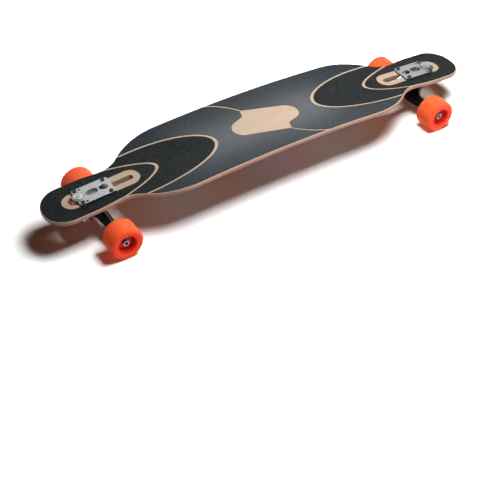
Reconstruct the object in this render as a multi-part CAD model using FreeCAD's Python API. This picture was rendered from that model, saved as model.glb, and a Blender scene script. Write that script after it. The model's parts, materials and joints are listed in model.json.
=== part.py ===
import FreeCAD, Part
import math
import os

V = FreeCAD.Vector

# Drop-through longboard, millimetres. The ground is z = 0 and the middle of the board is over the origin.
# X runs along the board with the front truck at minus X, Y across it, Z up.

# Deck outline, seen from above
deck_length = 1060.0
deck_width = 218.5
neck_width = 101.0
neck_from_end = 151.0
shoulder_radius = 170.0
neck_radius = 68.0
end_width = 110.5
end_flare_angle = 7.15
end_side_radius = 201.0
end_corner_radius = 50.0
end_tip_radius = 90.5

# Deck section and bow
deck_thickness = 9.5
deck_edge_radius = 1.6
concave_radius = 928.0
camber_slope = 4.9
end_tilt = 3.2
end_flat_length = 164.0

# Drop-through cut-outs in the deck
slot_width = 28.0
slot_open_end = 10.5
relief_width = 14.0
relief_from_end = 203.0
seat_clearance = 0.6
spot_face_depth = 0.8
spot_face_radius = 6.2

# Grip sheets and the bare lines between them
grip_thickness = 0.9
grip_bond_thickness = 0.15
grip_edge_margin = 0.3
line_side_width = 5.0
line_tip_width = 8.0
leaf_tip_from_middle = 129.7
leaf_crown_from_end = 219.0
leaf_half_width = 69.7
end_line_tip_from_end = 258.0
end_line_open_from_end = 130.0
end_line_open_half_width = 56.8
window_inner_from_end = 217.5
window_outer_from_end = 43.0
window_width = 48.0
badge_lobe_corner = 141.0
badge_lobe_radius = 28.0
badge_shoulder_along = 31.0
badge_shoulder_across = 57.0
badge_shoulder_radius = 2.0
badge_notch_along = 38.0
badge_notch_across = 36.0
badge_notch_radius = 5.0
divider_width = 4.2
divider_spread = 63.0
divider_bow = 5.7

# Wheels
wheel_diameter = 73.0
wheel_width = 48.3
wheel_lip_radius = 7.0
wheel_face_dish = 1.6
wheel_recess_radius = 20.5
wheel_outset = 2.0
core_radius = 17.0
core_shoulder_radius = 9.8

# Ball bearings, two in each wheel
bearing_bore_radius = 4.0
bearing_outer_radius = 11.0
bearing_width = 7.0
inner_land_radius = 6.0
outer_land_radius = 9.2
ball_radius = 1.984
ball_count = 7
ball_track_depth = 0.6
ball_track_width = 4.4
shield_thickness = 0.5
shield_recess = 0.4
cage_thickness = 0.4
cage_half_width = 0.8

# Axle line
hanger_width = 167.0
speed_ring_thickness = 1.0
spacer_length = 10.0
axle_nut_flats = 12.7
axle_nut_height = 6.5
axle_stickout = 1.0

# Truck geometry in its own side view
truck_from_end = 112.0
axle_inset = 8.2
axle_drop = 55.5
pivot_lean = 40.0
axle_to_ring = 27.0
ring_to_pivot = 27.5

# Hanger casting
ring_radius = 19.0
ring_thickness = 12.0
ring_hole_radius = 7.5
bushing_seat_depth = 1.5
bar_middle_radius = 10.5
bar_middle_ridge = 15.0
bar_end_radius = 7.2
bar_end_ridge = 9.0
bar_middle_length = 44.0
web_thickness = 11.0
web_bar_width = 116.0
web_hollow_depth = 9.0
nose_radius = 4.5
nose_root_radius = 8.0
nose_root_overlap = 4.0
nose_taper_length = 8.0

# Bushings, kingpin and washers
bushing_radius = 12.0
bushing_roadside_tip_radius = 10.4
boardside_bushing_height = 14.0
roadside_bushing_height = 12.0
bushing_waist = 0.8
washer_thickness = 1.3
washer_radius = 12.6
kingpin_radius = 4.76
kingpin_grip_length = 18.0
kingpin_head_flats = 12.7
kingpin_head_height = 6.0
kingpin_nut_flats = 14.3
kingpin_nut_height = 8.2
kingpin_stickout = 2.0

# Baseplate casting
plate_inner_margin = 10.0
plate_outer_margin = 7.0
plate_width = 51.0
plate_thickness = 5.5
plate_corner_radius = 6.0
boss_radius = 13.0
head_pocket_radius = 7.9
web_half_width = 9.0
web_depth = 8.0
cup_radius = 7.0
cup_wall = 2.2
cup_mouth = 3.0
housing_wall = 3.0
housing_floor = 2.5
ridge_overhang = 7.0
ridge_radius = 13.0
ridge_step = 3.5
ridge_height = 1.5
ridge_count = 3
pocket_length = 27.0
pocket_width = 17.0
pocket_depth = 5.0
pocket_outset = 3.0

# Mounting hardware
bolt_spacing_long = 63.5
bolt_spacing_short = 53.98
bolt_spacing_across = 41.28
bolt_hole_radius = 2.75
bolt_shank_radius = 2.4
bolt_head_radius = 4.6
bolt_head_height = 3.0
bolt_key_flats = 3.2
bolt_key_depth = 1.6
mounting_nut_flats = 9.5
mounting_nut_height = 4.6
bolt_stickout = 1.5

# Clearances
fit_gap = 0.05
running_gap = 0.3
ball_gap = 0.1
spare_reach = 1.0

# Derived heights and axes
wheel_radius = wheel_diameter / 2
half_length = deck_length / 2
half_width = deck_width / 2
truck_from_middle = half_length - truck_from_end
tilt = math.radians(end_tilt)
seat_z = wheel_radius + axle_drop * math.cos(tilt) - axle_inset * math.sin(tilt)
plate_top_z = seat_z + plate_thickness
SEAT = V(truck_from_middle, 0, seat_z)
lean = math.radians(pivot_lean)
UP = V(0, 0, 1)
ACROSS = V(0, 1, 0)
PIVOT = V(math.cos(lean), 0, math.sin(lean))
KINGPIN = V(-math.sin(lean), 0, math.cos(lean))
AXLE = SEAT - V(axle_inset, 0, axle_drop)
RING = AXLE + PIVOT * axle_to_ring
BALL = RING + PIVOT * ring_to_pivot
ring_face = ring_thickness / 2 - bushing_seat_depth
boss_seat = ring_face + boardside_bushing_height + washer_thickness
nut_seat = ring_face + roadside_bushing_height + washer_thickness
cup_length = cup_mouth + nose_radius + running_gap + cup_wall
housing_radius = cup_radius + housing_wall
ball_pitch_radius = (inner_land_radius + outer_land_radius) / 2

# Camber: one arc over the crown and one of the same radius down to each tilted flat end
slope = math.radians(camber_slope)
flat_start = half_length - end_flat_length
camber_radius = flat_start / (2 * math.sin(slope) - math.sin(tilt))
flat_start_z = seat_z + (truck_from_middle - flat_start) * math.tan(tilt)
crown_z = flat_start_z + camber_radius * (1 + math.cos(tilt) - 2 * math.cos(slope))

parts = {}


# Shape helpers

def polygon_face(points):
    return Part.Face(Part.makePolygon(list(points) + [points[0]]))


def prism(points, direction):
    return polygon_face(points).extrude(direction)


def aimed(shape, base, axis):
    """Carry a shape built round Z from the origin to a base point and an axis."""
    shape.Placement = FreeCAD.Placement(base, FreeCAD.Rotation(UP, axis))
    return shape


def turned(profile, base, axis):
    """Turn a closed list of (radius, height) pairs round an axis."""
    face = polygon_face([V(radius, 0, height) for radius, height in profile])
    return aimed(face.revolve(V(0, 0, 0), UP, 360), base, axis)


def rod(radius, start, end, base, axis):
    return turned([(0, start), (radius, start), (radius, end), (0, end)], base, axis)


def tube(inner, outer, start, end, base, axis):
    return turned([(inner, start), (outer, start), (outer, end), (inner, end)], base, axis)


def hex_prism(flats, start, end):
    corner = flats / 2 / math.cos(math.pi / 6)
    angles = [math.radians(60 * step) for step in range(6)]
    return prism([V(corner * math.cos(a), corner * math.sin(a), start) for a in angles], UP * (end - start))


def hexagon(flats, start, end, base, axis):
    """Six-sided head or nut with its corners turned off at both ends."""
    corner = flats / 2 / math.cos(math.pi / 6)
    drop = (corner - flats / 2) / 2
    crown = turned([(0, start), (flats / 2, start), (corner, start + drop),
                    (corner, end - drop), (flats / 2, end), (0, end)], V(0, 0, 0), UP)
    return aimed(hex_prism(flats, start, end).common(crown), base, axis)


def arc(centre, radius, start, end):
    """Arc in plan from one angle to another, in degrees from plus X."""
    angles = [math.radians(a) for a in (start, (start + end) / 2, end)]
    ends = [centre + V(radius * math.cos(a), radius * math.sin(a), 0) for a in angles]
    return Part.Arc(*ends).toShape()


def line(start, end):
    return Part.makeLine(start, end)


def loop_face(edges):
    return Part.Face(Part.Wire(Part.__sortEdges__(edges)))


def upright(face):
    """Endless upright prism on a plan outline, for cutting and trimming."""
    return face.extrude(UP * (crown_z + half_width))


def stadium(inner, outer, width):
    """Plan outline with round ends between two distances from the middle."""
    radius = width / 2
    low, high = V(inner + radius, 0, 0), V(outer - radius, 0, 0)
    side = V(0, radius, 0)
    return loop_face([arc(low, radius, 90, 270), arc(high, radius, -90, 90),
                      line(low + side, high + side), line(low - side, high - side)])


def rounded_polygon(corners, radii):
    """Plan outline with each corner rounded to its own radius."""
    edges, starts, ends = [], [], []
    for i, (corner, radius) in enumerate(zip(corners, radii)):
        back = (corners[i - 1] - corner).normalize()
        ahead = (corners[(i + 1) % len(corners)] - corner).normalize()
        half = back.getAngle(ahead) / 2
        middle = (back + ahead).normalize()
        centre = corner + middle * (radius / math.sin(half))
        starts.append(corner + back * (radius / math.tan(half)))
        ends.append(corner + ahead * (radius / math.tan(half)))
        edges.append(Part.Arc(starts[-1], centre - middle * radius, ends[-1]).toShape())
    return loop_face(edges + [line(ends[i - 1], starts[i]) for i in range(len(corners))])


def rounded_rectangle(inner, outer, width, z, radius):
    """Rounded plan rectangle between two distances from the middle of the board."""
    side = width / 2
    corners = [V(outer, side, z), V(inner, side, z), V(inner, -side, z), V(outer, -side, z)]
    return rounded_polygon(corners, [radius] * len(corners))


def mirrored(edge, normal):
    return edge.mirror(V(0, 0, 0), normal)


def tilted(shape):
    """A piece drawn on a level seat, laid on the tilted end of the deck."""
    copy = shape.copy()
    copy.rotate(SEAT, ACROSS, end_tilt)
    return copy


def turn_about(shape):
    """The front copy of a piece drawn for the rear truck."""
    copy = shape.copy()
    copy.rotate(V(0, 0, 0), UP, 180)
    return copy


def save(name, shapes):
    """Keep one node, as a single solid or as a group of like solids."""
    solids = [solid for shape in shapes for solid in shape.Solids]
    parts[name] = solids[0] if len(solids) == 1 else Part.makeCompound(solids)


# Deck outline: tangent arcs and lines in one quarter, mirrored to the other three

def deck_outline(inset):
    side, neck, end = half_width - inset, neck_width / 2 - inset, end_width / 2 - inset
    shoulder, waist = shoulder_radius - inset, neck_radius + inset
    pad, corner, tip = end_side_radius - inset, end_corner_radius - inset, end_tip_radius - inset
    turn = math.degrees(math.acos(1 - (side - neck) / (shoulder + waist)))
    flare = math.radians(end_flare_angle)
    neck_from_middle = half_length - neck_from_end
    shoulder_centre = V(neck_from_middle - (shoulder + waist) * math.sin(math.radians(turn)), side - shoulder, 0)
    waist_centre = V(neck_from_middle, neck + waist, 0)
    flare_start = waist_centre + V(waist * math.sin(flare), -waist * math.cos(flare), 0)
    flare_rise = end - pad * (1 - math.cos(flare)) - flare_start.y
    flare_end = flare_start + V(flare_rise / math.tan(flare), flare_rise, 0)
    pad_centre = flare_end + V(pad * math.sin(flare), -pad * math.cos(flare), 0)
    tip_centre = V(half_length - inset - tip, 0, 0)
    corner_y = end - corner
    corner_centre = V(tip_centre.x + math.sqrt((tip - corner) ** 2 - corner_y ** 2), corner_y, 0)
    blend = math.degrees(math.asin(corner_y / (tip - corner)))
    quarter = [line(V(0, side, 0), V(shoulder_centre.x, side, 0)),
               arc(shoulder_centre, shoulder, 90, 90 - turn),
               arc(waist_centre, waist, 270 - turn, 270 + end_flare_angle),
               line(flare_start, flare_end),
               arc(pad_centre, pad, 90 + end_flare_angle, 90),
               line(V(pad_centre.x, end, 0), V(corner_centre.x, end, 0)),
               arc(corner_centre, corner, 90, blend),
               arc(tip_centre, tip, blend, 0)]
    half = quarter + [mirrored(edge, ACROSS) for edge in quarter]
    return loop_face(half + [mirrored(edge, V(1, 0, 0)) for edge in half])


# Bowed layer: the dished section carried over the crown, down the two rising arcs and along the flat ends

def bowed_layer(low, high):
    """Layer between two heights above the deck's top face, wider and longer than the deck."""
    inner, outer = concave_radius - high, concave_radius - low
    reach = math.asin((half_width + seat_clearance) / inner)

    def at(radius, angle):
        return V(0, radius * math.sin(angle), concave_radius - radius * math.cos(angle))

    def section(base, turn):
        edges = [Part.Arc(at(r, -reach), at(r, 0), at(r, reach)).toShape() for r in (inner, outer)]
        edges += [line(at(inner, a), at(outer, a)) for a in (-reach, reach)]
        face = loop_face(edges)
        face.Placement = FreeCAD.Placement(base, FreeCAD.Rotation(ACROSS, turn))
        return face

    crown_centre = V(0, 0, crown_z - camber_radius)
    crown = section(V(0, 0, crown_z), 0)
    crown.rotate(crown_centre, ACROSS, -camber_slope)
    layer = crown.revolve(crown_centre, ACROSS, 2 * camber_slope)
    base = V(flat_start, 0, flat_start_z)
    along, normal = V(math.cos(tilt), 0, -math.sin(tilt)), V(math.sin(tilt), 0, math.cos(tilt))
    flat = section(base, end_tilt).extrude(along * (end_flat_length / along.x + deck_thickness))
    rise = section(base, end_tilt).revolve(base + normal * camber_radius, ACROSS, camber_slope - end_tilt)
    return layer.fuse([rise, flat, turn_about(rise), turn_about(flat)])


# Deck with its truck cut-outs

def bolt_places(spacing_x, spacing_y):
    return [V(truck_from_middle + sx * spacing_x / 2, sy * spacing_y / 2, 0) for sx in (-1, 1) for sy in (-1, 1)]


plate_inner = truck_from_middle - bolt_spacing_long / 2 - plate_inner_margin
plate_outer = truck_from_middle + bolt_spacing_long / 2 + plate_outer_margin
boss_top = RING + KINGPIN * ((seat_z - RING.z) / KINGPIN.z)
slot_inner = boss_top.x - boss_radius / KINGPIN.z - seat_clearance
slot_outer = plate_outer + ridge_overhang + slot_open_end
spot_z = seat_z - deck_thickness + spot_face_depth


def plate_seat():
    """Room for the plate above its seat."""
    seat = rounded_rectangle(plate_inner - seat_clearance, plate_outer + seat_clearance,
                             plate_width + 2 * seat_clearance, seat_z, plate_corner_radius + seat_clearance)
    return seat.extrude(UP * deck_thickness)


def truck_cut():
    """Everything taken out of the deck at the rear truck."""
    slot = upright(stadium(slot_inner, slot_outer, slot_width))
    relief = upright(stadium(half_length - relief_from_end, slot_inner + slot_width, relief_width))
    cuts = [relief, plate_seat()]
    for place in bolt_places(bolt_spacing_long, bolt_spacing_across):
        cuts.append(rod(bolt_hole_radius, 0, seat_z + deck_thickness, place, UP))
        cuts.append(rod(spot_face_radius, 0, spot_z, place, UP))
    return slot.fuse(cuts)


def rim_edges(solid, face):
    """Edges of a solid that run over the rim of a plan outline, above and below."""
    rim = face.OuterWire
    found = []
    for edge in solid.Edges:
        middle = edge.valueAt((edge.FirstParameter + edge.LastParameter) / 2)
        ends = [vertex.Point for vertex in edge.Vertexes]
        level = (ends[0] - ends[-1]).cross(UP).Length > fit_gap
        if level and rim.distToShape(Part.Vertex(V(middle.x, middle.y, 0)))[0] < fit_gap:
            found.append(edge)
    return found


deck_plan = deck_outline(0)
plank = bowed_layer(-deck_thickness, 0).common(upright(deck_plan)).Solids[0]
plank = plank.makeFillet(deck_edge_radius, rim_edges(plank, deck_plan))
rear_cut = tilted(truck_cut())
deck = plank.cut(rear_cut).cut(turn_about(rear_cut))
save("deck", [deck])


# Grip sheets, parted by bare lines of wood

far_end = half_length + spare_reach
leaf_crown_from_middle = half_length - leaf_crown_from_end


def leaf_region(grow):
    """Everything outward of the long leaf line: an ellipse's end, then straight to the board's edge."""
    reach = leaf_crown_from_middle - leaf_tip_from_middle + grow * line_tip_width / 2
    high = leaf_half_width + grow * line_side_width / 2
    crown = V(leaf_crown_from_middle, 0, 0)
    bow = Part.Face(Part.Wire([Part.Ellipse(crown, reach, high).toShape()]))
    block = polygon_face([V(crown.x, -high, 0), V(far_end, -high, 0), V(far_end, high, 0), V(crown.x, high, 0)])
    return upright(bow).fuse(upright(block))


def end_region(grow):
    """Everything outward of the short end line: a parabola that opens to the neck's edges."""
    tip = half_length - end_line_tip_from_end - grow * line_tip_width / 2
    opening = half_length - end_line_open_from_end
    high = end_line_open_half_width + grow * line_side_width / 2
    curve = Part.BezierCurve()
    curve.setPoles([V(opening, -high, 0), V(2 * tip - opening, 0, 0), V(opening, high, 0)])
    rim = [V(opening, high, 0), V(opening, half_width, 0), V(far_end, half_width, 0),
           V(far_end, -half_width, 0), V(opening, -half_width, 0), V(opening, -high, 0)]
    return upright(loop_face([curve.toShape()] + [line(a, b) for a, b in zip(rim, rim[1:])]))


badge_shoulder = V(-badge_shoulder_along, badge_shoulder_across, 0)
badge_notch = V(-badge_notch_along, badge_notch_across, 0)


def divider():
    """Bowed bare band from the window's far shoulder to the far edge of the deck."""
    root = badge_shoulder
    edge = V(root.x - divider_spread, half_width, 0)
    chord = edge - root
    side = V(chord.y, -chord.x, 0).normalize()
    radius = chord.Length ** 2 / 8 / divider_bow + divider_bow / 2
    centre = (root + edge) * 0.5 + side * (divider_bow - radius)
    start, stop = [math.degrees(math.atan2(p.y - centre.y, p.x - centre.x)) for p in (root, edge)]
    spare = (stop - start) / 8
    start, stop = start - spare, stop + spare
    rims = [radius - divider_width / 2, radius + divider_width / 2]
    ends = [line(*[centre + V(r * math.cos(a), r * math.sin(a), 0) for r in rims])
            for a in (math.radians(start), math.radians(stop))]
    return upright(loop_face([arc(centre, r, start, stop) for r in rims] + ends))


def badge_window():
    """Bare wood in the middle of the board: a two-lobed window with a bowed divider from each shoulder."""
    half = [(badge_notch, badge_notch_radius), (badge_shoulder, badge_shoulder_radius),
            (V(badge_lobe_corner, 0, 0), badge_lobe_radius)]
    corners = [corner * turn for turn in (1, -1) for corner, radius in half]
    window = upright(rounded_polygon(corners, [radius for corner, radius in half] * 2))
    return window.fuse([divider(), turn_about(divider())])


grip_outline = upright(deck_outline(deck_edge_radius + grip_edge_margin))
grip_layer = bowed_layer(grip_bond_thickness, grip_bond_thickness + grip_thickness).common(grip_outline)
leaf_cut = leaf_region(1)
grip_centre = grip_layer.cut(leaf_cut).cut(turn_about(leaf_cut)).cut(badge_window())
save("grip_centre_rear", [solid for solid in grip_centre.Solids if solid.CenterOfMass.x > 0])
save("grip_centre_front", [solid for solid in grip_centre.Solids if solid.CenterOfMass.x < 0])
grip_leaf = grip_layer.common(leaf_region(-1)).cut(end_region(1))
grip_window = upright(stadium(half_length - window_inner_from_end, half_length - window_outer_from_end, window_width))
grip_end = grip_layer.common(end_region(-1)).cut([grip_window, tilted(plate_seat())])
for name, sheet in (("grip_leaf", grip_leaf), ("grip_end", grip_end)):
    save(name + "_rear", [sheet])
    save(name + "_front", [turn_about(sheet)])


def save_truck(name, shapes):
    """Keep one piece of the rear truck and its front twin, both on their tilted seats."""
    laid = [tilted(shape) for shape in shapes]
    save("rear_" + name, laid)
    save("front_" + name, [turn_about(shape) for shape in laid])


# Baseplate: flange on the deck, kingpin boss and pivot housing hanging through the slot

def side_prism(points, half):
    """Upright slab from a side-view outline of (x, z) pairs."""
    return prism([V(x, -half, z) for x, z in points], ACROSS * (2 * half))


housing_end = cup_length - cup_mouth + housing_floor
flange = rounded_rectangle(plate_inner, plate_outer, plate_width, seat_z, plate_corner_radius)
flange = flange.extrude(UP * plate_thickness)
boss_length = boss_seat + plate_outer - plate_inner
below_top = Part.makeBox(2 * half_length, 2 * half_width, plate_top_z, V(0, -half_width, 0))
boss = rod(boss_radius, boss_seat, boss_length, RING, KINGPIN).common(below_top)
housing = rod(housing_radius, -cup_mouth, housing_end, BALL, PIVOT)
heel = BALL + PIVOT * housing_end - KINGPIN * housing_radius
mouth = BALL - PIVOT * cup_mouth + KINGPIN * housing_radius
ridge_centre = V(plate_outer + ridge_overhang - ridge_radius, 0, 0)
web_end = ridge_centre.x + math.sqrt(ridge_radius ** 2 - web_half_width ** 2)
web = side_prism([(boss_top.x, plate_top_z), (web_end, plate_top_z), (heel.x, heel.z),
                  (mouth.x, mouth.z), (boss_top.x, seat_z - web_depth)], web_half_width)
ridges = [rod(ridge_radius - step * ridge_step, seat_z, plate_top_z + (step + 1) * ridge_height, ridge_centre, UP)
          for step in range(ridge_count)]
pocket_x = truck_from_middle + pocket_outset
pocket = stadium(pocket_x - pocket_length / 2, pocket_x + pocket_length / 2, pocket_width)
pocket.translate(UP * (plate_top_z - pocket_depth))
kingpin_head_seat = boss_seat + kingpin_grip_length
spare_x = truck_from_middle - bolt_spacing_long / 2 + bolt_spacing_short
spare_places = [V(spare_x, side * bolt_spacing_across / 2, 0) for side in (-1, 1)]
bolts_at = bolt_places(bolt_spacing_long, bolt_spacing_across)
plate_cuts = [rod(bolt_hole_radius, seat_z, plate_top_z, place, UP) for place in bolts_at + spare_places]
plate_cuts += [pocket.extrude(UP * pocket_depth),
               rod(kingpin_radius + fit_gap, boss_seat, boss_length, RING, KINGPIN),
               rod(head_pocket_radius, kingpin_head_seat, boss_length, RING, KINGPIN),
               rod(cup_radius + fit_gap, -cup_mouth, cup_length - cup_mouth, BALL, PIVOT)]
baseplate = flange.fuse([boss, housing, web] + ridges).cut(plate_cuts)
save_truck("baseplate", [baseplate])

# Pivot cup: a bucket that holds the hanger's nose
socket_radius = nose_radius + running_gap
socket = rod(socket_radius, -cup_mouth, 0, BALL, PIVOT).fuse(Part.makeSphere(socket_radius, BALL))
pivot_cup = rod(cup_radius, -cup_mouth, cup_length - cup_mouth, BALL, PIVOT).cut(socket)
save_truck("pivot_cup", [pivot_cup])

# Kingpin with its nut, washers and the two bushings
kingpin_end = nut_seat + kingpin_nut_height + kingpin_stickout
kingpin = rod(kingpin_radius, -kingpin_end, kingpin_head_seat, RING, KINGPIN)
kingpin_head = hexagon(kingpin_head_flats, kingpin_head_seat, kingpin_head_seat + kingpin_head_height, RING, KINGPIN)
save_truck("kingpin", [kingpin.fuse(kingpin_head)])
nut_blank = hexagon(kingpin_nut_flats, -nut_seat - kingpin_nut_height, -nut_seat, RING, KINGPIN)
nut_bore = rod(kingpin_radius + fit_gap, -kingpin_end, -nut_seat, RING, KINGPIN)
save_truck("kingpin_nut", [nut_blank.cut(nut_bore)])
washer_starts = [boss_seat - washer_thickness, -nut_seat]
save_truck("bushing_washers", [tube(kingpin_radius + fit_gap, washer_radius, start, start + washer_thickness, RING, KINGPIN)
                               for start in washer_starts])
bushing_bore = kingpin_radius + running_gap
rim_radius = bushing_radius - bushing_waist
board_top = boss_seat - washer_thickness
board_middle = (ring_face + board_top) / 2
save_truck("boardside_bushing", [turned([(bushing_bore, ring_face), (rim_radius, ring_face), (bushing_radius, board_middle),
                                         (rim_radius, board_top), (bushing_bore, board_top)], RING, KINGPIN)])
road_bottom = -nut_seat + washer_thickness
save_truck("roadside_bushing", [turned([(bushing_bore, -ring_face), (rim_radius, -ring_face),
                                        (bushing_radius, -ring_face - bushing_waist),
                                        (bushing_roadside_tip_radius, road_bottom),
                                        (bushing_bore, road_bottom)], RING, KINGPIN)])

# Hanger: ring round the kingpin, nose to the pivot cup, webbed arms to the axle bar
bar_end = hanger_width / 2
bar_middle = bar_middle_length / 2
ring_blank = rod(ring_radius, -ring_thickness / 2, ring_thickness / 2, RING, KINGPIN)


def bar_section(across, radius, ridge):
    """Roof-shaped section of the axle bar, its ridge pointing away from the ring."""
    roof = [(-ridge, 0), (-radius / 2, radius), (radius, radius), (radius, -radius), (-radius / 2, -radius)]
    points = [AXLE + ACROSS * across + PIVOT * along + KINGPIN * up for along, up in roof]
    return Part.makePolygon(points + [points[0]])


bar = Part.makeLoft([bar_section(-bar_end, bar_end_radius, bar_end_ridge),
                     bar_section(-bar_middle, bar_middle_radius, bar_middle_ridge),
                     bar_section(bar_middle, bar_middle_radius, bar_middle_ridge),
                     bar_section(bar_end, bar_end_radius, bar_end_ridge)], True, True)


def on_web(along, across):
    return RING + PIVOT * along + ACROSS * across - KINGPIN * (web_thickness / 2)


def web_arm(side):
    """Hollow-curved edge of the web, from the ring to the bar."""
    top, foot = (0, ring_radius), (-axle_to_ring, web_bar_width / 2)
    middle = ((top[0] + foot[0]) / 2, (top[1] + foot[1]) / 2 - web_hollow_depth)
    return Part.Arc(*[on_web(along, side * across) for along, across in (top, middle, foot)]).toShape()


arms = [web_arm(1), web_arm(-1),
        line(on_web(0, ring_radius), on_web(0, -ring_radius)),
        line(on_web(-axle_to_ring, web_bar_width / 2), on_web(-axle_to_ring, -web_bar_width / 2))]
hanger_web = loop_face(arms).extrude(KINGPIN * web_thickness)
nose_start = ring_radius - nose_root_overlap
nose = turned([(0, nose_start), (nose_root_radius, nose_start), (nose_radius, nose_start + nose_taper_length),
               (nose_radius, ring_to_pivot), (0, ring_to_pivot)], RING, PIVOT)
nose_tip = Part.makeSphere(nose_radius, BALL)
seat_radius = bushing_radius + 2 * running_gap
hanger_cuts = [rod(ring_hole_radius, -ring_thickness, ring_thickness, RING, KINGPIN),
               rod(seat_radius, ring_face, ring_thickness, RING, KINGPIN),
               rod(seat_radius, -ring_thickness, -ring_face, RING, KINGPIN),
               rod(bearing_bore_radius, -bar_end, bar_end, AXLE, ACROSS)]
hanger = ring_blank.fuse([bar, hanger_web, nose, nose_tip]).cut(hanger_cuts)
save_truck("hanger", [hanger])

# Stack along the axle, measured outward from the board's centre line
inner_bearing = bar_end + speed_ring_thickness
spacer_start = inner_bearing + bearing_width
outer_bearing = spacer_start + spacer_length
outer_ring = outer_bearing + bearing_width
axle_nut_start = outer_ring + speed_ring_thickness
axle_end = axle_nut_start + axle_nut_height + axle_stickout
axle_radius = bearing_bore_radius - fit_gap
bearing_starts = [inner_bearing, outer_bearing]
SIDES = {"left": V(0, -1, 0), "right": V(0, 1, 0)}
axle_chamfer = axle_stickout / 2
axle = turned([(0, -axle_end), (axle_radius - axle_chamfer, -axle_end), (axle_radius, -axle_end + axle_chamfer),
               (axle_radius, axle_end - axle_chamfer), (axle_radius - axle_chamfer, axle_end), (0, axle_end)], AXLE, ACROSS)
save_truck("axle", [axle])


def on_axle(inner, outer, start, length):
    """One like tube on each side of the truck."""
    return [tube(inner, outer, start, start + length, AXLE, side) for side in SIDES.values()]


save_truck("speed_rings", on_axle(bearing_bore_radius, inner_land_radius, bar_end, speed_ring_thickness)
           + on_axle(bearing_bore_radius, inner_land_radius, outer_ring, speed_ring_thickness))
save_truck("bearing_spacers", on_axle(bearing_bore_radius, inner_land_radius, spacer_start, spacer_length))
axle_nuts = []
for side in SIDES.values():
    nut = hexagon(axle_nut_flats, axle_nut_start, axle_nut_start + axle_nut_height, AXLE, side)
    axle_nuts.append(nut.cut(rod(bearing_bore_radius, axle_nut_start, axle_end, AXLE, side)))
save_truck("axle_nuts", axle_nuts)


def race(back, land, track, start, side):
    """Bearing ring with a square ball track: back and land are its two radii, track the track's floor."""
    middle = start + bearing_width / 2
    low, high = middle - ball_track_width / 2, middle + ball_track_width / 2
    end = start + bearing_width
    return turned([(back, start), (land, start), (land, low), (track, low), (track, high), (land, high),
                   (land, end), (back, end)], AXLE, side)


inner_track = inner_land_radius - ball_track_depth
outer_track = outer_land_radius + ball_track_depth
save_truck("bearing_inner_races", [race(bearing_bore_radius, inner_land_radius, inner_track, start, side)
                                   for side in SIDES.values() for start in bearing_starts])


# Wheels: urethane tyre moulded on a core, with the outer half of each bearing

def tyre(side):
    """Round-lipped tyre with dished faces and a funnel recess down to each bearing."""
    middle = (inner_bearing + outer_ring) / 2 + wheel_outset
    low, high = middle - wheel_width / 2, middle + wheel_width / 2
    lip = wheel_radius - wheel_lip_radius
    bulge = wheel_lip_radius * math.sin(math.radians(45))

    def at(radius, height):
        return V(radius, 0, height)

    rim = [at(lip, low), at(wheel_recess_radius, low + wheel_face_dish), at(core_radius, inner_bearing),
           at(core_radius, outer_ring), at(wheel_recess_radius, high - wheel_face_dish), at(lip, high)]
    edges = [line(a, b) for a, b in zip(rim, rim[1:])]
    tread_low, tread_high = low + wheel_lip_radius, high - wheel_lip_radius
    edges += [Part.Arc(at(lip, low), at(lip + bulge, tread_low - bulge), at(wheel_radius, tread_low)).toShape(),
              line(at(wheel_radius, tread_low), at(wheel_radius, tread_high)),
              Part.Arc(at(wheel_radius, tread_high), at(lip + bulge, tread_high + bulge), at(lip, high)).toShape()]
    return aimed(loop_face(edges).revolve(V(0, 0, 0), UP, 360), AXLE, side)


def core(side):
    seat = bearing_outer_radius + fit_gap
    return turned([(seat, inner_bearing), (core_radius, inner_bearing), (core_radius, outer_ring), (seat, outer_ring),
                   (seat, outer_bearing), (core_shoulder_radius, outer_bearing),
                   (core_shoulder_radius, spacer_start), (seat, spacer_start)], AXLE, side)


def shields(side):
    """Thin covers at both faces of both bearings."""
    covers = []
    for start in bearing_starts:
        for low in (start + shield_recess, start + bearing_width - shield_recess - shield_thickness):
            covers.append(tube(inner_land_radius + running_gap, outer_land_radius - fit_gap,
                               low, low + shield_thickness, AXLE, side))
    return covers


def ball_set(side):
    """Balls of both bearings, each row with its cage ring."""
    pieces = []
    for start in bearing_starts:
        middle = start + bearing_width / 2
        cage_start = middle + ball_radius + ball_gap
        for step in range(ball_count):
            angle = 2 * math.pi * step / ball_count
            place = V(ball_pitch_radius * math.cos(angle), ball_pitch_radius * math.sin(angle), middle)
            ball = Part.makeSphere(ball_radius)
            ball.translate(place)
            pieces.append(aimed(Part.makeCompound([ball]), AXLE, side))
        pieces.append(tube(ball_pitch_radius - cage_half_width, ball_pitch_radius + cage_half_width,
                           cage_start, cage_start + cage_thickness, AXLE, side))
    return pieces


OPPOSITE = {"left": "right", "right": "left"}
for name, side in SIDES.items():
    wheel = {"tyre": [tyre(side)],
             "core": [core(side)],
             "bearing_outer_races": [race(bearing_outer_radius, outer_land_radius, outer_track, start, side)
                                     for start in bearing_starts],
             "bearing_shields": shields(side),
             "ball_set": ball_set(side)}
    for piece, shapes in wheel.items():
        laid = [tilted(shape) for shape in shapes]
        save("rear_" + name + "_" + piece, laid)
        save("front_" + OPPOSITE[name] + "_" + piece, [turn_about(shape) for shape in laid])

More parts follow.
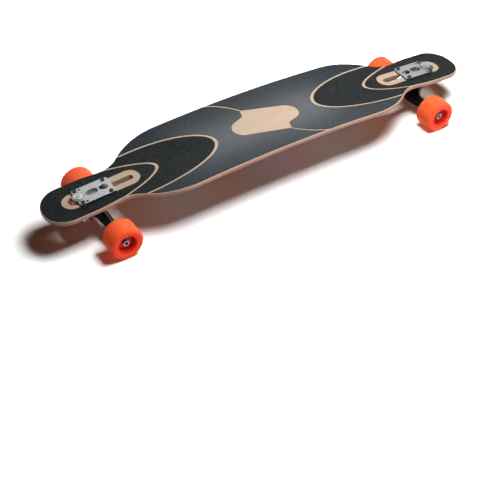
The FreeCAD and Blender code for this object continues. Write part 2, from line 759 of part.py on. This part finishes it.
# Mounting bolts down through plate and deck, with nuts on spot faces under the deck
bolt_end = spot_z - mounting_nut_height - bolt_stickout
head_top = plate_top_z + bolt_head_height
bolts = []
nuts = []
for place in bolts_at:
    head_edge = bolt_head_height / 3
    key = hex_prism(bolt_key_flats, head_top - bolt_key_depth, head_top)
    key.translate(place)
    blank = turned([(0, bolt_end), (bolt_shank_radius, bolt_end), (bolt_shank_radius, plate_top_z),
                    (bolt_head_radius, plate_top_z), (bolt_head_radius, head_top - head_edge),
                    (bolt_head_radius - head_edge, head_top), (0, head_top)], place, UP)
    bolts.append(blank.cut(key))
    nut = hexagon(mounting_nut_flats, spot_z - mounting_nut_height, spot_z, place, UP)
    nuts.append(nut.cut(rod(bolt_shank_radius + fit_gap, bolt_end, spot_z, place, UP)))
save_truck("mounting_bolts", bolts)
save_truck("mounting_nuts", nuts)

os.makedirs("parts", exist_ok=True)
for name, shape in parts.items():
    shape.exportStep("parts/" + name + ".step")
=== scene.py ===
import json
import math

import bpy
import numpy as np
from mathutils import Matrix, Vector


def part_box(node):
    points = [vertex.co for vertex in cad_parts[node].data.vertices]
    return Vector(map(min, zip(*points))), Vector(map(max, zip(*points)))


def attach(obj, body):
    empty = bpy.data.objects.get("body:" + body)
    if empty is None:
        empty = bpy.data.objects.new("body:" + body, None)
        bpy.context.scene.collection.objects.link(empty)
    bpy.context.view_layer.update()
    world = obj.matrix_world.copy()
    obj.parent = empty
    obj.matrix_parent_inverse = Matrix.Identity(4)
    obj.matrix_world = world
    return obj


# Drop-through longboard on its wheels, in metres. X runs along the board, Y across it, Z up from the ground.

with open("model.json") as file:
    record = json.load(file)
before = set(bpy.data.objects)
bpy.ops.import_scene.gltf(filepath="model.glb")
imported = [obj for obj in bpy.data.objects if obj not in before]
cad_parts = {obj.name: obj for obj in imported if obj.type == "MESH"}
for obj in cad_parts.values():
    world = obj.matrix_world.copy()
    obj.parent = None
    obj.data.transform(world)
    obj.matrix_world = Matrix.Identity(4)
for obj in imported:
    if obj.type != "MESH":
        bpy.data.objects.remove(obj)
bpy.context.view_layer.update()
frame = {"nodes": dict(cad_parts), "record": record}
nodes = frame["nodes"]

# Deck, and the height of the seats that its trucks are bolted to
_, deck_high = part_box("deck")
half_length = deck_high.x
seat_height = 0.09146
deck_thickness = 0.0095
concave_radius = 0.928
camber_slope = math.radians(4.9)
end_tilt = math.radians(3.2)
end_flat_length = 0.164
truck_from_end = 0.112
face_skin = 0.0004

# Crown of the camber, worked out from the sizes above
truck_from_middle = half_length - truck_from_end
flat_start = half_length - end_flat_length
camber_radius = flat_start / (2 * math.sin(camber_slope) - math.sin(end_tilt))
arc_meeting = camber_radius * math.sin(camber_slope)
crown_height = (seat_height + (end_flat_length - truck_from_end) * math.tan(end_tilt)
                + camber_radius * (1 + math.cos(end_tilt) - 2 * math.cos(camber_slope)))

# Cast plate: its thickness, the steps of its nose, its soft edges, and where its pivot housing starts
plate_thickness = 0.0055
ridge_height = 0.0015
cast_edge_radius = 0.0009
housing_start = 0.034
housing_shade_depth = 0.048

# Wheels, alike at both ends
tyre_low, tyre_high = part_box("rear_right_tyre")
axle_from_middle = (tyre_low.x + tyre_high.x) / 2
wheel_radius = (tyre_high.z - tyre_low.z) / 2

# Printed panel under the deck
print_half_length = 0.318
print_half_width = 0.098
print_lift = 0.00015
print_grid = (161, 41)
print_end_power = 8
print_end_root = 3
print_band = 0.07
print_slant = 0.62
print_colours = ((0.55, 0.64, 0.67), (0.52, 0.03, 0.05), (0.86, 0.84, 0.79),
                 (0.02, 0.30, 0.33), (0.93, 0.24, 0.06), (0.02, 0.02, 0.022))

# Bamboo, as places and colours of ramps: its strips on the top face and the underside by noise, and its plies
# by their share of the thickness
top_strips = [(0.3, (0.50, 0.37, 0.26)), (0.55, (0.60, 0.45, 0.32)), (0.75, (0.55, 0.41, 0.29))]
underside_strips = [(0.3, (0.40, 0.20, 0.075)), (0.55, (0.52, 0.285, 0.12)), (0.75, (0.46, 0.24, 0.095))]
edge_plies = [(0.0, (0.53, 0.42, 0.34)), (0.2, (0.56, 0.45, 0.385)), (0.24, (0.42, 0.31, 0.25)),
              (0.28, (0.56, 0.45, 0.39)), (0.48, (0.55, 0.43, 0.37)), (0.52, (0.41, 0.30, 0.24)),
              (0.56, (0.53, 0.41, 0.35)), (0.76, (0.50, 0.38, 0.315)), (0.8, (0.38, 0.27, 0.21)),
              (1.0, (0.44, 0.31, 0.23))]
fibre_streaks = [(0.35, (0.80, 0.80, 0.80)), (0.6, (1, 1, 1))]
fibre_share = 0.7

# Cast aluminium, as ramps: painted shade in its hollows by depth through plate and deck, painted light and
# shade on the nose's three steps by height, with painted shade on the wall under each and a painted highlight
# on the middle tread, painted shade on the pivot housing by depth, and a fine speckle
plate_share = plate_thickness / (plate_thickness + deck_thickness)
plate_hollow_shade = [(0.0, (0.36, 0.37, 0.37)), (0.03, (0.33, 0.34, 0.34)), (0.11, (0.25, 0.25, 0.25)),
                 (plate_share, (0.2, 0.2, 0.2)), (0.97, (0.12, 0.12, 0.12)), (1.0, (0.36, 0.37, 0.37))]
nose_height = 4 * ridge_height
nose_step_light_and_shade = [(0.0, (1, 1, 1)), (0.02, (0.25, 0.25, 0.25)), (0.21, (0.7, 0.7, 0.7)), (0.27, (0.2, 0.2, 0.2)),
              (0.46, (1.5, 1.5, 1.5)), (0.52, (0.2, 0.2, 0.2)), (0.71, (1.0, 1.0, 1.0))]
housing_shade = [(0.4, (0.008, 0.0075, 0.007)), (0.55, (0.3, 0.3, 0.3))]
cast_speckle = [(0.3, (0.85, 0.85, 0.85)), (0.7, (1.08, 1.08, 1.08))]

# Urethane, as ramps: rings of colour by their share of the wheel's radius, with painted light on the tread
# and painted shade on the sides and in the recess, rings of painted glow, and a fine speckle
wheel_light_and_shade_rings = [(0.46, (0.55, 0.010, 0.007)), (0.58, (0.93, 0.04, 0.015)), (0.64, (0.98, 0.105, 0.036)),
               (0.93, (0.99, 0.135, 0.042)), (0.99, (1.0, 0.155, 0.042))]
wheel_painted_glow = [(0.48, (0.25, 0.006, 0.004)), (0.64, (1.0, 0.06, 0.025))]
wheel_speckle = [(0.3, (0.94, 0.93, 0.92)), (0.7, (1, 1, 1))]

# Camera, from the photograph: angles in degrees, distances in metres
view_turn = -32.13
view_height = 42.38
view_roll = -0.14
view_distance = 2.0665
view_target = Vector((-0.18854, -0.19415, 0.0))
focal_pixels = 1003.5
image_pixels = 480
sensor_width = 36.0

# Light: a square key panel, a long strip behind that shows only as a sheen, and a low warm panel in front
# that shows in no reflection, each with its place, the way its length lies, its sides and its power; and a
# low even fill, warm as from the board's own underside
light_target = Vector((0.0, 0.0, 0.1))
key_place = Vector((0.24, -0.25, 1.3))
key_along = Vector((1.0, 0.0, 0.0))
key_sides = (0.58, 0.58)
key_power = 20.8
strip_place = Vector((1.05, 1.7, 1.57))
strip_along = Vector((1.0, 0.0, -0.217))
strip_sides = (1.25, 0.25)
strip_power = 8.8
front_place = Vector((0.8, -1.9, 0.09))
front_along = Vector((1.0, 0.0, 0.0))
front_sides = (1.6, 0.14)
front_power = 18.0
front_colour = (1.0, 0.58, 0.48)
fill_strength = 0.006
fill_colour = (1.0, 0.35, 0.22, 1)

# Floor: its colour for the light that it throws back, and its brightness as it is seen, which pales outward
# until it ends in white
floor_side = 12.0
floor_bounce = (0.4, 0.37, 0.35, 1)
floor_seen = (1.5, 2.1)
floor_paling = (0.35, 0.7)
floor_fade = (0.64, 0.88)
floor_fade_stretch = (1.0, 1.6, 1.0)

# Colour sockets of a Mix node: its two inputs and its output
MIX_FIRST, MIX_SECOND, MIX_RESULT = 6, 7, 2


# Surfaces

def deck_top(x, y):
    """Height of the deck's top: a crown arc, an arc of the same radius turning back to the tilted flat end,
    and the dished section's own circle across, with each arc taken as a parabola."""
    far = np.abs(x)
    crown = np.minimum(far, arc_meeting)
    rise = np.clip(far, arc_meeting, flat_start) - arc_meeting
    flat = np.maximum(far - flat_start, 0)
    drop = crown ** 2 / (2 * camber_radius) + rise * math.tan(camber_slope) - rise ** 2 / (2 * camber_radius)
    return crown_height - drop - flat * math.tan(end_tilt) + y ** 2 / (2 * concave_radius)


def grid_mesh(name, points, uv=None):
    """Quads over a grid of points (rows, columns, xyz), with a surface map where one is given."""
    rows, columns = points.shape[:2]
    index = np.arange(rows * columns).reshape(rows, columns)
    corners = (index[:-1, :-1], index[1:, :-1], index[1:, 1:], index[:-1, 1:])
    quads = np.stack(corners, axis=-1).reshape(-1, 4)
    mesh = bpy.data.meshes.new(name)
    mesh.from_pydata(points.reshape(-1, 3).tolist(), [], quads.tolist())
    mesh.polygons.foreach_set("use_smooth", np.ones(len(mesh.polygons), bool))
    if uv is not None:
        layer = mesh.uv_layers.new(name="surface")
        layer.data.foreach_set("uv", uv.reshape(-1, 2)[quads.ravel()].ravel())
    mesh.update()
    return mesh


def print_panel():
    """Grid over (s, t) in [-1, 1]: x = half length times s, and y = t times a half width that closes at both
    ends as (1 - |s|^8)^(1/3). The height is the underside's, a hair lower."""
    rows, columns = print_grid
    s = np.sin(np.linspace(-math.pi / 2, math.pi / 2, rows))[:, None]
    t = np.linspace(-1, 1, columns)[None, :]
    x = print_half_length * s + 0 * t
    y = print_half_width * (1 - np.abs(s) ** print_end_power) ** (1 / print_end_root) * t
    z = deck_top(x, y) - deck_thickness / math.cos(end_tilt) - print_lift
    return grid_mesh("underside_print", np.stack([x, y, z], axis=-1), uv=np.stack([x, y], axis=-1))


def add_object(name, data):
    """A new object in the scene."""
    thing = bpy.data.objects.new(name, data)
    bpy.context.scene.collection.objects.link(thing)
    return thing


def add_piece(name, mesh, body, finish):
    """One dressed piece on a body, with its finish."""
    piece = add_object(name, mesh)
    mesh.materials.append(finish)
    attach(piece, body)


# Nodes that the finishes are made of

def new_finish(name):
    """An empty material with its Principled shader."""
    finish = bpy.data.materials.new(name)
    finish.use_nodes = True
    return finish, finish.node_tree, finish.node_tree.nodes["Principled BSDF"]


def settle(shader, **values):
    """Plain values on the shader's own sockets, named with underscores for spaces."""
    for socket, value in values.items():
        shader.inputs[socket.replace("_", " ")].default_value = value


def add_node(tree, kind, **settings):
    """A node with its own settings."""
    node = tree.nodes.new(kind)
    for name, value in settings.items():
        setattr(node, name, value)
    return node


def feed(tree, socket, value):
    """A plain number set on a socket, or another socket linked to it."""
    if isinstance(value, (int, float)):
        socket.default_value = value
    else:
        tree.links.new(value, socket)


def reckon(tree, operation, *values):
    """A Math node on sockets or plain numbers."""
    node = add_node(tree, "ShaderNodeMath", operation=operation)
    for socket, value in zip(node.inputs, values):
        feed(tree, socket, value)
    return node.outputs[0]


def square_over(tree, value, divisor):
    """A value's square, divided."""
    return reckon(tree, "DIVIDE", reckon(tree, "MULTIPLY", value, value), divisor)


def object_place(tree):
    """The three object coordinates."""
    place = add_node(tree, "ShaderNodeTexCoord")
    split = add_node(tree, "ShaderNodeSeparateXYZ")
    tree.links.new(place.outputs["Object"], split.inputs[0])
    return split.outputs


def stretched_noise(tree, cells, detail=4.0, roughness=0.55):
    """Noise on object coordinates, with its own number of cells per metre along each axis."""
    place = add_node(tree, "ShaderNodeTexCoord")
    mapping = add_node(tree, "ShaderNodeMapping")
    mapping.inputs["Scale"].default_value = cells
    noise = add_node(tree, "ShaderNodeTexNoise")
    noise.inputs["Scale"].default_value = 1.0
    noise.inputs["Detail"].default_value = detail
    noise.inputs["Roughness"].default_value = roughness
    tree.links.new(place.outputs["Object"], mapping.inputs["Vector"])
    tree.links.new(mapping.outputs["Vector"], noise.inputs["Vector"])
    return noise.outputs["Fac"]


def even_noise(tree, cells, **settings):
    """Noise with the same number of cells per metre along each axis."""
    return stretched_noise(tree, (cells, cells, cells), **settings)


def ramp(tree, factor, stops, interpolation="LINEAR"):
    """Colour ramp from (place, colour) stops."""
    node = add_node(tree, "ShaderNodeValToRGB")
    node.color_ramp.interpolation = interpolation
    elements = node.color_ramp.elements
    while len(elements) < len(stops):
        elements.new(0.5)
    for element, (place, colour) in zip(elements, stops):
        element.position = place
        element.color = (*colour, 1)
    tree.links.new(factor, node.inputs["Fac"])
    return node.outputs["Color"]


def blend_colours(tree, factor, first, second, way="MIX"):
    """Two colours blended by a socket or a plain number."""
    node = add_node(tree, "ShaderNodeMix", data_type="RGBA", blend_type=way)
    feed(tree, node.inputs["Factor"], factor)
    tree.links.new(first, node.inputs[MIX_FIRST])
    tree.links.new(second, node.inputs[MIX_SECOND])
    return node.outputs[MIX_RESULT]


def roughen(tree, shader, height, distance, edge_radius=0.0):
    """Bump from a height between 0 and 1, in metres of depth, on edges softened to a radius."""
    bump = add_node(tree, "ShaderNodeBump")
    bump.inputs["Distance"].default_value = distance
    tree.links.new(height, bump.inputs["Height"])
    if edge_radius:
        soft_edge = add_node(tree, "ShaderNodeBevel", samples=8)
        soft_edge.inputs["Radius"].default_value = edge_radius
        tree.links.new(soft_edge.outputs["Normal"], bump.inputs["Normal"])
    tree.links.new(bump.outputs["Normal"], shader.inputs["Normal"])


def shade(colour, factor):
    """A colour made lighter or darker."""
    return tuple(channel * factor for channel in colour)


def depth_in_deck(tree):
    """Depth under the bowed top face, whose height is as in deck_top."""
    x, y, z = object_place(tree)
    far = reckon(tree, "ABSOLUTE", x)
    crown = reckon(tree, "MINIMUM", far, arc_meeting)
    in_arcs = reckon(tree, "MINIMUM", reckon(tree, "MAXIMUM", far, arc_meeting), flat_start)
    rise = reckon(tree, "SUBTRACT", in_arcs, arc_meeting)
    flat = reckon(tree, "MAXIMUM", reckon(tree, "SUBTRACT", far, flat_start), 0.0)
    crown_drop = square_over(tree, crown, 2 * camber_radius)
    slope_drop = reckon(tree, "MULTIPLY", rise, math.tan(camber_slope))
    turn_back = square_over(tree, rise, 2 * camber_radius)
    flat_drop = reckon(tree, "MULTIPLY", flat, math.tan(end_tilt))
    arc_drop = reckon(tree, "ADD", crown_drop, reckon(tree, "SUBTRACT", slope_drop, turn_back))
    drop = reckon(tree, "ADD", arc_drop, flat_drop)
    dish = square_over(tree, y, 2 * concave_radius)
    top = reckon(tree, "ADD", reckon(tree, "SUBTRACT", crown_height, drop), dish)
    return reckon(tree, "SUBTRACT", top, z)


# Finishes

def plain_finish(name, colour, cells, spread, bump=0.0, **values):
    """A colour that wanders a little with fine noise, and a light bump."""
    finish, tree, shader = new_finish(name)
    noise = even_noise(tree, cells)
    tint = ramp(tree, noise, [(0.3, shade(colour, 1 - spread)), (0.7, shade(colour, 1 + spread))])
    tree.links.new(tint, shader.inputs["Base Color"])
    if bump:
        roughen(tree, shader, noise, bump)
    settle(shader, **values)
    return finish


def bamboo_finish():
    """Pale lacquered bamboo above, warmer bamboo below, and plies seen on the edge, told apart by depth."""
    finish, tree, shader = new_finish("lacquered_bamboo")
    strips = stretched_noise(tree, (3, 190, 3), detail=3)
    fibres = stretched_noise(tree, (18, 1500, 18), detail=5, roughness=0.7)
    depth = depth_in_deck(tree)
    pale = ramp(tree, strips, top_strips)
    warm = ramp(tree, strips, underside_strips)
    plies = ramp(tree, reckon(tree, "DIVIDE", depth, deck_thickness), edge_plies)
    inside = reckon(tree, "GREATER_THAN", depth, face_skin)
    below = reckon(tree, "GREATER_THAN", depth, deck_thickness - face_skin)
    colour = blend_colours(tree, below, blend_colours(tree, inside, pale, plies), warm)
    streaks = ramp(tree, fibres, fibre_streaks)
    grained = blend_colours(tree, fibre_share, colour, streaks, "MULTIPLY")
    tree.links.new(grained, shader.inputs["Base Color"])
    roughen(tree, shader, fibres, 0.00004)
    settle(shader, Roughness=0.45, Specular_IOR_Level=0.2, Coat_Weight=0.05, Coat_Roughness=0.3)
    return finish


def cast_finish():
    """Cast aluminium, with painted shade in the hollows of the plate, on the walls of its stepped nose and on
    the pivot housing where it shows in the slot, and a painted highlight on the middle tread of the nose."""
    finish, tree, shader = new_finish("cast_aluminium")
    x, _, z = object_place(tree)
    outward = reckon(tree, "SUBTRACT", reckon(tree, "ABSOLUTE", x), truck_from_middle)
    fall = reckon(tree, "MULTIPLY", outward, math.tan(end_tilt))
    top = reckon(tree, "SUBTRACT", seat_height + plate_thickness, fall)
    depth = reckon(tree, "SUBTRACT", top, z)
    # Painted shade: darker with depth in the plate's pockets and on its side walls
    pocket_shade = ramp(tree, reckon(tree, "DIVIDE", depth, plate_thickness + deck_thickness), plate_hollow_shade)
    above = reckon(tree, "MAXIMUM", reckon(tree, "MULTIPLY", depth, -1.0), 0.0)
    # Painted shade on the walls of the nose's steps and a painted highlight on its middle tread
    steps = ramp(tree, reckon(tree, "DIVIDE", above, nose_height), nose_step_light_and_shade, "CONSTANT")
    stepped = blend_colours(tree, 1.0, pocket_shade, steps, "MULTIPLY")
    # Painted shade on the pivot housing where it shows through the slot
    housing = reckon(tree, "MULTIPLY", reckon(tree, "GREATER_THAN", outward, housing_start),
                     reckon(tree, "GREATER_THAN", depth, plate_thickness))
    housing_shade_colour = ramp(tree, reckon(tree, "DIVIDE", depth, housing_shade_depth), housing_shade)
    shaded = blend_colours(tree, housing, stepped, housing_shade_colour)
    grain = even_noise(tree, 260)
    speckled = blend_colours(tree, 1.0, shaded, ramp(tree, grain, cast_speckle), "MULTIPLY")
    tree.links.new(speckled, shader.inputs["Base Color"])
    roughen(tree, shader, grain, 0.00006, cast_edge_radius)
    settle(shader, Metallic=1.0, Roughness=0.36)
    return finish


def grit_finish(name, colour, painted_glint, painted_glint_edge, contrast, bump, **values):
    """Grit sheet: coarse grains in the colour, a scatter of painted glints for facets that catch the light,
    clumps, patches and a bump.
    """
    finish, tree, shader = new_finish(name)
    grains = even_noise(tree, 900, detail=3, roughness=0.75)
    clumps = even_noise(tree, 210, detail=3, roughness=0.7)
    patches = even_noise(tree, 9, detail=3)
    # Painted glints: the brightest grains turn pale grey, as facets catching the light
    ground = ramp(tree, grains, [(0.3, shade(colour, 0.62)), (0.52, colour),
                                 (painted_glint_edge, shade(colour, 1.35)), (painted_glint_edge + 0.08, painted_glint)])
    mottle = reckon(tree, "ADD", reckon(tree, "MULTIPLY", clumps, 0.75),
                    reckon(tree, "MULTIPLY", patches, 0.25))
    wear = ramp(tree, mottle, [(0.4, (1 - contrast,) * 3), (0.6, (1 + contrast,) * 3)])
    tree.links.new(blend_colours(tree, 1.0, ground, wear, "MULTIPLY"), shader.inputs["Base Color"])
    roughen(tree, shader, grains, bump)
    settle(shader, **values)
    return finish


def print_finish():
    """Screen-printed chevron bands across the panel's own surface map."""
    finish, tree, shader = new_finish("printed_bands")
    surface = add_node(tree, "ShaderNodeUVMap", uv_map="surface")
    split = add_node(tree, "ShaderNodeSeparateXYZ")
    tree.links.new(surface.outputs["UV"], split.inputs[0])
    along, across, _ = split.outputs
    aside = reckon(tree, "MULTIPLY", reckon(tree, "ABSOLUTE", across), print_slant)
    slant = reckon(tree, "ADD", along, aside)
    count = len(print_colours)
    repeat = count * print_band
    bands = reckon(tree, "DIVIDE", reckon(tree, "ADD", slant, 10 * repeat), repeat)
    stops = [(i / count, colour) for i, colour in enumerate(print_colours)]
    colour = ramp(tree, reckon(tree, "FRACT", bands), stops, "CONSTANT")
    tree.links.new(colour, shader.inputs["Base Color"])
    roughen(tree, shader, stretched_noise(tree, (30, 900, 30)), 0.00003)
    settle(shader, Roughness=0.38, Coat_Weight=0.3, Coat_Roughness=0.2)
    return finish


def urethane_finish():
    """Translucent urethane: a ground, a paler tread as painted light, deeper coloured sides and a dark recess
    as painted shade, told apart by their distance from the axle, with a weak painted glow that stands in for
    the light it carries into its shaded sides. The axles lie alike at both ends, so one distance from the
    middle serves all four tyres."""
    finish, tree, shader = new_finish("orange_urethane")
    x, _, z = object_place(tree)
    along = reckon(tree, "SUBTRACT", reckon(tree, "ABSOLUTE", x), axle_from_middle)
    high = reckon(tree, "SUBTRACT", z, wheel_radius)
    distance = reckon(tree, "SQRT", reckon(tree, "ADD", reckon(tree, "MULTIPLY", along, along),
                                           reckon(tree, "MULTIPLY", high, high)))
    share = reckon(tree, "DIVIDE", distance, wheel_radius)
    # Painted light on the tread, painted shade on the sides and in the recess
    lit_and_shaded_rings = ramp(tree, share, wheel_light_and_shade_rings)
    # Painted glow: emission for light carried through the urethane into its shaded sides, dimmer in the
    # recess
    tree.links.new(ramp(tree, share, wheel_painted_glow), shader.inputs["Emission Color"])
    noise = even_noise(tree, 220)
    speckled = blend_colours(tree, 1.0, lit_and_shaded_rings, ramp(tree, noise, wheel_speckle), "MULTIPLY")
    tree.links.new(speckled, shader.inputs["Base Color"])
    roughen(tree, shader, noise, 0.00003)
    settle(shader, Roughness=0.5, Specular_IOR_Level=0.12, Subsurface_Weight=0.8,
           Subsurface_Radius=(0.02, 0.0016, 0.0006), Subsurface_Scale=1.0, Emission_Strength=0.19)
    return finish


# One finish for each slot of the record
finishes = {
    "bamboo": bamboo_finish(),
    "grip_slate": grit_finish("slate_grit", (0.0115, 0.019, 0.025), painted_glint=(0.24, 0.25, 0.26),
                              painted_glint_edge=0.76, contrast=0.4, bump=0.000012, Roughness=0.22,
                              Specular_IOR_Level=0.16, Specular_Tint=(0.88, 0.95, 1.0, 1)),
    "grip_charcoal": grit_finish("charcoal_grit", (0.0105, 0.0135, 0.014), painted_glint=(0.30, 0.31, 0.31),
                                 painted_glint_edge=0.7, contrast=0.75, bump=0.00025, Roughness=0.45,
                                 Specular_IOR_Level=0.06),
    "cast_aluminium": cast_finish(),
    "black_hanger": plain_finish("satin_black_casting", (0.008, 0.008, 0.0085), cells=500, spread=0.3,
                                 bump=0.00005, Roughness=0.36, Specular_IOR_Level=0.06),
    "steel": plain_finish("bright_steel", (0.46, 0.47, 0.48), cells=300, spread=0.06, Metallic=1.0,
                          Roughness=0.24),
    "black_steel": plain_finish("black_oxide_steel", (0.022, 0.022, 0.023), cells=700, spread=0.3,
                                Metallic=0.4, Roughness=0.42),
    "shield": plain_finish("red_pressed_shield", (0.24, 0.05, 0.055), cells=500, spread=0.2, Metallic=0.3,
                           Roughness=0.4),
    "cup_urethane": plain_finish("black_urethane", (0.025, 0.025, 0.026), cells=400, spread=0.2,
                                 Roughness=0.5),
    "bushing_urethane": plain_finish("orange_bushing", (0.88, 0.075, 0.018), cells=250, spread=0.08,
                                     Roughness=0.4),
    "wheel_urethane": urethane_finish(),
    "wheel_core": plain_finish("red_moulded_core", (0.60, 0.03, 0.018), cells=250, spread=0.1, Roughness=0.45,
                               Specular_IOR_Level=0.2),
}

# Steel of their own for the axles, their nuts and the bearings' outer races, by their names after the end.
# The races are dark red as painted shade and painted red reflection in the wheel's recess, the nuts are
# tinted red and dimmed as painted reflection and shade of the wheel round them, and the axles are near black
# as painted shade
# Painted shade and painted red reflection: the outer races dark red
shaded_race_steel = plain_finish("race_steel_painted_shade", (0.10, 0.05, 0.05), cells=300, spread=0.15, Metallic=1.0,
                          Roughness=0.34)
own_steel = {
    # Painted red reflection and shade: the nuts' steel tinted red and dimmed
    "axle_nuts": plain_finish("nut_steel_painted_red_reflection", (0.36, 0.28, 0.28), cells=300, spread=0.15, Metallic=1.0,
                              Roughness=0.3),
    # Painted shade: the axles near black
    "axle": plain_finish("axle_steel_painted_shade", (0.010, 0.007, 0.007), cells=300, spread=0.2, Roughness=0.5,
                         Specular_IOR_Level=0.1),
    "left_bearing_outer_races": shaded_race_steel,
    "right_bearing_outer_races": shaded_race_steel,
}

# Every solid takes the finish of its slot, or the steel of its own
for entry in frame["record"]["subparts"]:
    kind = entry["node"].partition("_")[2]
    finish = own_steel.get(kind, finishes[entry["material_slot"]])
    for material_slot in nodes[entry["node"]].material_slots:
        material_slot.link = "OBJECT"
        material_slot.material = finish

add_piece("underside_print", print_panel(), "board", print_finish())


# Stage: pale floor, white surround, three soft panels and the camera

def seen_directly(tree):
    """1 for what the camera, a mirror or a clear piece shows, 0 for light that falls on the board."""
    path = add_node(tree, "ShaderNodeLightPath")
    seen = reckon(tree, "MAXIMUM", path.outputs["Is Camera Ray"], path.outputs["Is Glossy Ray"])
    return reckon(tree, "MAXIMUM", seen, path.outputs["Is Transmission Ray"])


def spread_range(tree, value, source, target):
    """Smooth step of a value from one range to another."""
    node = add_node(tree, "ShaderNodeMapRange", interpolation_type="SMOOTHSTEP")
    for socket, number in zip(("From Min", "From Max", "To Min", "To Max"), (*source, *target)):
        node.inputs[socket].default_value = number
    tree.links.new(value, node.inputs["Value"])
    return node.outputs["Result"]


def mix_shaders(tree, factor, first, second, output):
    """Two shaders mixed by a factor into a tree's output."""
    mixed = add_node(tree, "ShaderNodeMixShader")
    tree.links.new(factor, mixed.inputs["Fac"])
    tree.links.new(first.outputs[0], mixed.inputs[1])
    tree.links.new(second.outputs[0], mixed.inputs[2])
    tree.links.new(mixed.outputs[0], tree.nodes[output].inputs["Surface"])


def floor_finish():
    """Floor that takes the board's shadow near by, pales outward as the light falls off and ends in white."""
    finish, tree, shader = new_finish("pale_floor")
    tree.nodes.remove(shader)
    place = add_node(tree, "ShaderNodeTexCoord")
    stretch = add_node(tree, "ShaderNodeVectorMath", operation="MULTIPLY")
    stretch.inputs[1].default_value = floor_fade_stretch
    reach = add_node(tree, "ShaderNodeVectorMath", operation="LENGTH")
    tree.links.new(place.outputs["Object"], stretch.inputs[0])
    tree.links.new(stretch.outputs[0], reach.inputs[0])
    paler = spread_range(tree, reach.outputs["Value"], floor_paling, floor_seen)
    away = spread_range(tree, reach.outputs["Value"], floor_fade, (0.0, 1.0))
    seen = seen_directly(tree)
    colour = add_node(tree, "ShaderNodeMix", data_type="RGBA")
    colour.inputs[MIX_FIRST].default_value = floor_bounce
    tree.links.new(paler, colour.inputs[MIX_SECOND])
    tree.links.new(seen, colour.inputs["Factor"])
    diffuse = add_node(tree, "ShaderNodeBsdfDiffuse")
    tree.links.new(colour.outputs[MIX_RESULT], diffuse.inputs["Color"])
    white = add_node(tree, "ShaderNodeEmission")
    mix_shaders(tree, reckon(tree, "MULTIPLY", away, seen), diffuse, white, "Material Output")
    return finish


def pale_floor():
    """A square of floor round the origin."""
    corners = floor_side * np.array([[[-1, -1, 0], [-1, 1, 0]], [[1, -1, 0], [1, 1, 0]]])
    mesh = grid_mesh("floor", corners)
    mesh.materials.append(floor_finish())
    floor = add_object("floor", mesh)


def white_surround():
    """White where it is seen, and a low warm fill for the light that falls on the board."""
    world = bpy.data.worlds.new("studio")
    bpy.context.scene.world = world
    world.use_nodes = True
    tree = world.node_tree
    fill = tree.nodes["Background"]
    fill.inputs["Color"].default_value = fill_colour
    fill.inputs["Strength"].default_value = fill_strength
    white = add_node(tree, "ShaderNodeBackground")
    white.inputs["Color"].default_value = (1, 1, 1, 1)
    mix_shaders(tree, seen_directly(tree), fill, white, "World Output")


def soft_panel(name, place, along, sides, power):
    """Flat lamp with its length along one direction, turned about it to face the board."""
    lamp = bpy.data.lights.new(name, "AREA")
    lamp.shape = "RECTANGLE"
    lamp.size, lamp.size_y = sides
    lamp.energy = power
    across = along.normalized()
    away = place - light_target
    away = (away - away.project(across)).normalized()
    panel = add_object(name, lamp)
    panel.matrix_world = Matrix((across, away.cross(across), away)).transposed().to_4x4()
    panel.location = place
    return panel


def photo_camera():
    """Camera on the line back from its target at the photograph's turn, height and roll."""
    turn, height, roll = (math.radians(angle) for angle in (view_turn, view_height, view_roll))
    back = Vector((math.sin(turn) * math.cos(height), -math.cos(turn) * math.cos(height), math.sin(height)))
    level = Vector((0, 0, 1)).cross(back).normalized()
    upright = back.cross(level)
    right = math.cos(roll) * level + math.sin(roll) * upright
    up = math.cos(roll) * upright - math.sin(roll) * level
    lens = bpy.data.cameras.new("photo_view")
    lens.sensor_width = sensor_width
    lens.lens = focal_pixels / image_pixels * sensor_width
    camera = add_object("photo_view", lens)
    camera.matrix_world = Matrix((right, up, back)).transposed().to_4x4()
    camera.location = view_target + back * view_distance
    bpy.context.scene.camera = camera


pale_floor()
white_surround()
soft_panel("key_panel", key_place, key_along, key_sides, key_power)
strip = soft_panel("strip_panel", strip_place, strip_along, strip_sides, strip_power)
strip.visible_diffuse = False
front = soft_panel("front_panel", front_place, front_along, front_sides, front_power)
front.data.color = front_colour
front.visible_glossy = False
photo_camera()
bpy.context.scene.view_settings.view_transform = "Standard"
